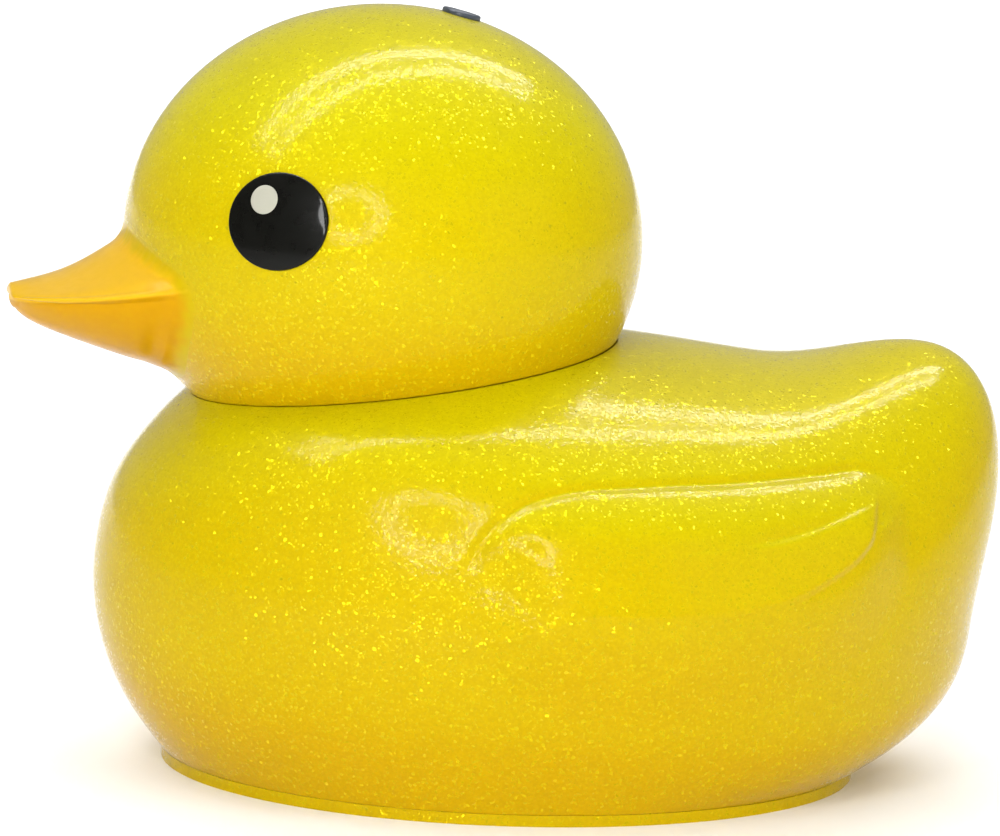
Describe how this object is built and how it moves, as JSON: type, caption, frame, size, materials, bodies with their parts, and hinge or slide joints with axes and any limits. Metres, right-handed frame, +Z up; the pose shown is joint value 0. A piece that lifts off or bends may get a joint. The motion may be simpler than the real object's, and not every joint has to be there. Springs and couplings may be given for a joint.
{
  "type": "floating chlorine dispenser",
  "caption": "Duck-shaped floating pool chlorine dispenser: sealed float, beak, eyes, crown vent plug, and a twist-lock tablet basket with a dosing dial in the base.",
  "frame": {"origin": "centre of the bounding box, on the plane that the keel rests on", "axes": "+Z up, the duck faces -X, +Y is the duck's right-hand side"},
  "size_m": [0.2314, 0.1664, 0.1752],
  "materials": {
    "glitter_yellow": "glossy, glitter-filled",
    "bill_orange": "satin paint",
    "eye_black": "glossy",
    "glint_grey": "glossy",
    "vent_grey": "satin",
    "basket_white": "matt polypropylene",
    "dial_blue": "matt polypropylene",
    "seal_rubber": "matt",
    "stainless": "plain",
    "ballast_steel": "zinc plated"
  },
  "bodies": {
    "float": {"body_shell": "glitter_yellow", "neck_ring": "glitter_yellow", "head_shell": "glitter_yellow", "beak": "bill_orange", "eye_left": "eye_black", "eye_right": "eye_black", "eye_glint_left": "glint_grey", "eye_glint_right": "glint_grey", "eye_push_nuts": "stainless", "beak_push_nuts": "stainless", "vent_bush": "vent_grey", "base_plate": "glitter_yellow", "tablet_well": "basket_white", "well_gasket": "seal_rubber", "ballast_ring": "ballast_steel", "ballast_screws": "stainless", "lock_ring": "basket_white"},
    "vent_plug": {"crown_vent_plug": "vent_grey"},
    "seal": {"basket_o_ring": "seal_rubber"},
    "basket": {"tablet_basket": "basket_white", "dial_screw": "stainless", "dial_washer": "stainless", "dial_nut": "stainless"},
    "dial": {"dose_dial": "dial_blue"}
  },
  "joints": [
    {"name": "vent_plug_pull", "type": "slide", "parent": "float", "child": "vent_plug", "axis": [0.2419, 0, 0.9703], "range_m": [0, 0.009]},
    {"name": "basket_drop", "type": "slide", "parent": "float", "child": "seal", "axis": [0, 0, -1], "range_m": [0, 0.004]},
    {"name": "basket_turn", "type": "hinge", "parent": "seal", "child": "basket", "pos_m": [0.0034, 0, 0], "axis": [0, 0, -1], "range_deg": [0, 62]},
    {"name": "dial_turn", "type": "hinge", "parent": "basket", "child": "dial", "pos_m": [0.0034, 0, 0], "axis": [0, 0, 1], "range_deg": [0, 45]}
  ],
  "couplings": [
    {"joint": "basket_drop", "follows": "basket_turn", "m_per_rad": 0.003696}
  ]
}
